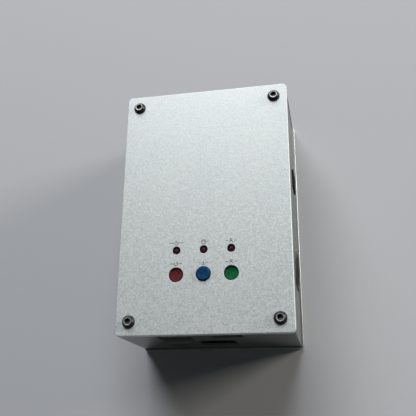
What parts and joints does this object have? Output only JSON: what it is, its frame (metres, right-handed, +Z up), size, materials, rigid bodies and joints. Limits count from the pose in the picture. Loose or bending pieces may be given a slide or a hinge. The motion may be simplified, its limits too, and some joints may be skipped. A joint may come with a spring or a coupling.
{
  "type": "scanner control box",
  "caption": "Flat aluminium box with control electronics for a lidar scanner: indicator lamps and push buttons in the lid, data and power sockets in its walls.",
  "frame": {"origin": "centre of the base plate's underside, on the surface that the box stands on", "axes": "+X to the right seen from the front wall, +Y from the front wall to the rear panel, +Z up through the lid"},
  "size_m": [0.077, 0.115, 0.0487],
  "materials": {
    "anodised": "fine bead-blasted natural anodising",
    "dark_anodised": "dark anodised",
    "black_oxide": "black oxide",
    "plated_steel": "bright plated",
    "bare_aluminium": "turned, natural",
    "brass": "turned",
    "gold_contact": "gold plated",
    "board": "solder mask",
    "black_plastic": "moulded",
    "ivory_plastic": "moulded",
    "red_plastic": "satin moulded",
    "blue_plastic": "satin moulded",
    "green_plastic": "satin moulded",
    "lens": "unlit tinted epoxy",
    "chip": "moulded epoxy",
    "gap_pad": "soft",
    "sink": "black anodised",
    "dome_steel": "spring steel"
  },
  "bodies": {
    "box": {"top_plate": "anodised", "front_wall": "anodised", "rear_panel": "dark_anodised", "left_wall": "anodised", "right_wall": "anodised", "base_plate": "anodised", "corner_posts": "bare_aluminium", "lid_screws": "black_oxide", "base_screws": "black_oxide", "main_board": "board", "processor_board": "board", "control_board": "board", "base_standoffs": "brass", "board_standoffs": "brass", "control_spacers": "brass", "board_screws": "plated_steel", "control_screws": "plated_steel", "twin_usb_shell": "plated_steel", "twin_usb_insert": "black_plastic", "single_usb_shell": "plated_steel", "single_usb_insert": "black_plastic", "front_ethernet_shell": "plated_steel", "front_ethernet_insert": "black_plastic", "side_ethernet_shell": "plated_steel", "side_ethernet_insert": "black_plastic", "ethernet_contacts": "gold_contact", "micro_usb_shell": "plated_steel", "micro_usb_insert": "black_plastic", "power_jack_body": "black_plastic", "power_jack_pin": "plated_steel", "card_socket": "plated_steel", "red_dome": "dome_steel", "blue_dome": "dome_steel", "green_dome": "dome_steel", "switch_housings": "black_plastic", "switch_covers": "plated_steel", "power_led": "lens", "disk_led": "lens", "user_led": "lens", "led_spacers": "ivory_plastic", "ribbon_cable": "ivory_plastic", "ribbon_sockets": "ivory_plastic", "header_socket": "black_plastic", "header_pins": "gold_contact", "processor_chip": "chip", "thermal_pad": "gap_pad", "heat_sink": "sink", "memory_chips": "chip", "storage_card": "board", "storage_socket": "black_plastic", "storage_screw": "brass", "power_parts": "chip"},
    "red_button": {"red_cap": "red_plastic", "red_plunger": "black_plastic"},
    "blue_button": {"blue_cap": "blue_plastic", "blue_plunger": "black_plastic"},
    "green_button": {"green_cap": "green_plastic", "green_plunger": "black_plastic"}
  },
  "joints": [
    {"name": "red_press", "type": "slide", "parent": "box", "child": "red_button", "axis": [0, 0, -1], "range_m": [0, 0.0003], "stiffness_N_per_m": 800, "springref_m": -0.0015},
    {"name": "blue_press", "type": "slide", "parent": "box", "child": "blue_button", "axis": [0, 0, -1], "range_m": [0, 0.0003], "stiffness_N_per_m": 800, "springref_m": -0.0015},
    {"name": "green_press", "type": "slide", "parent": "box", "child": "green_button", "axis": [0, 0, -1], "range_m": [0, 0.0003], "stiffness_N_per_m": 800, "springref_m": -0.0015}
  ]
}
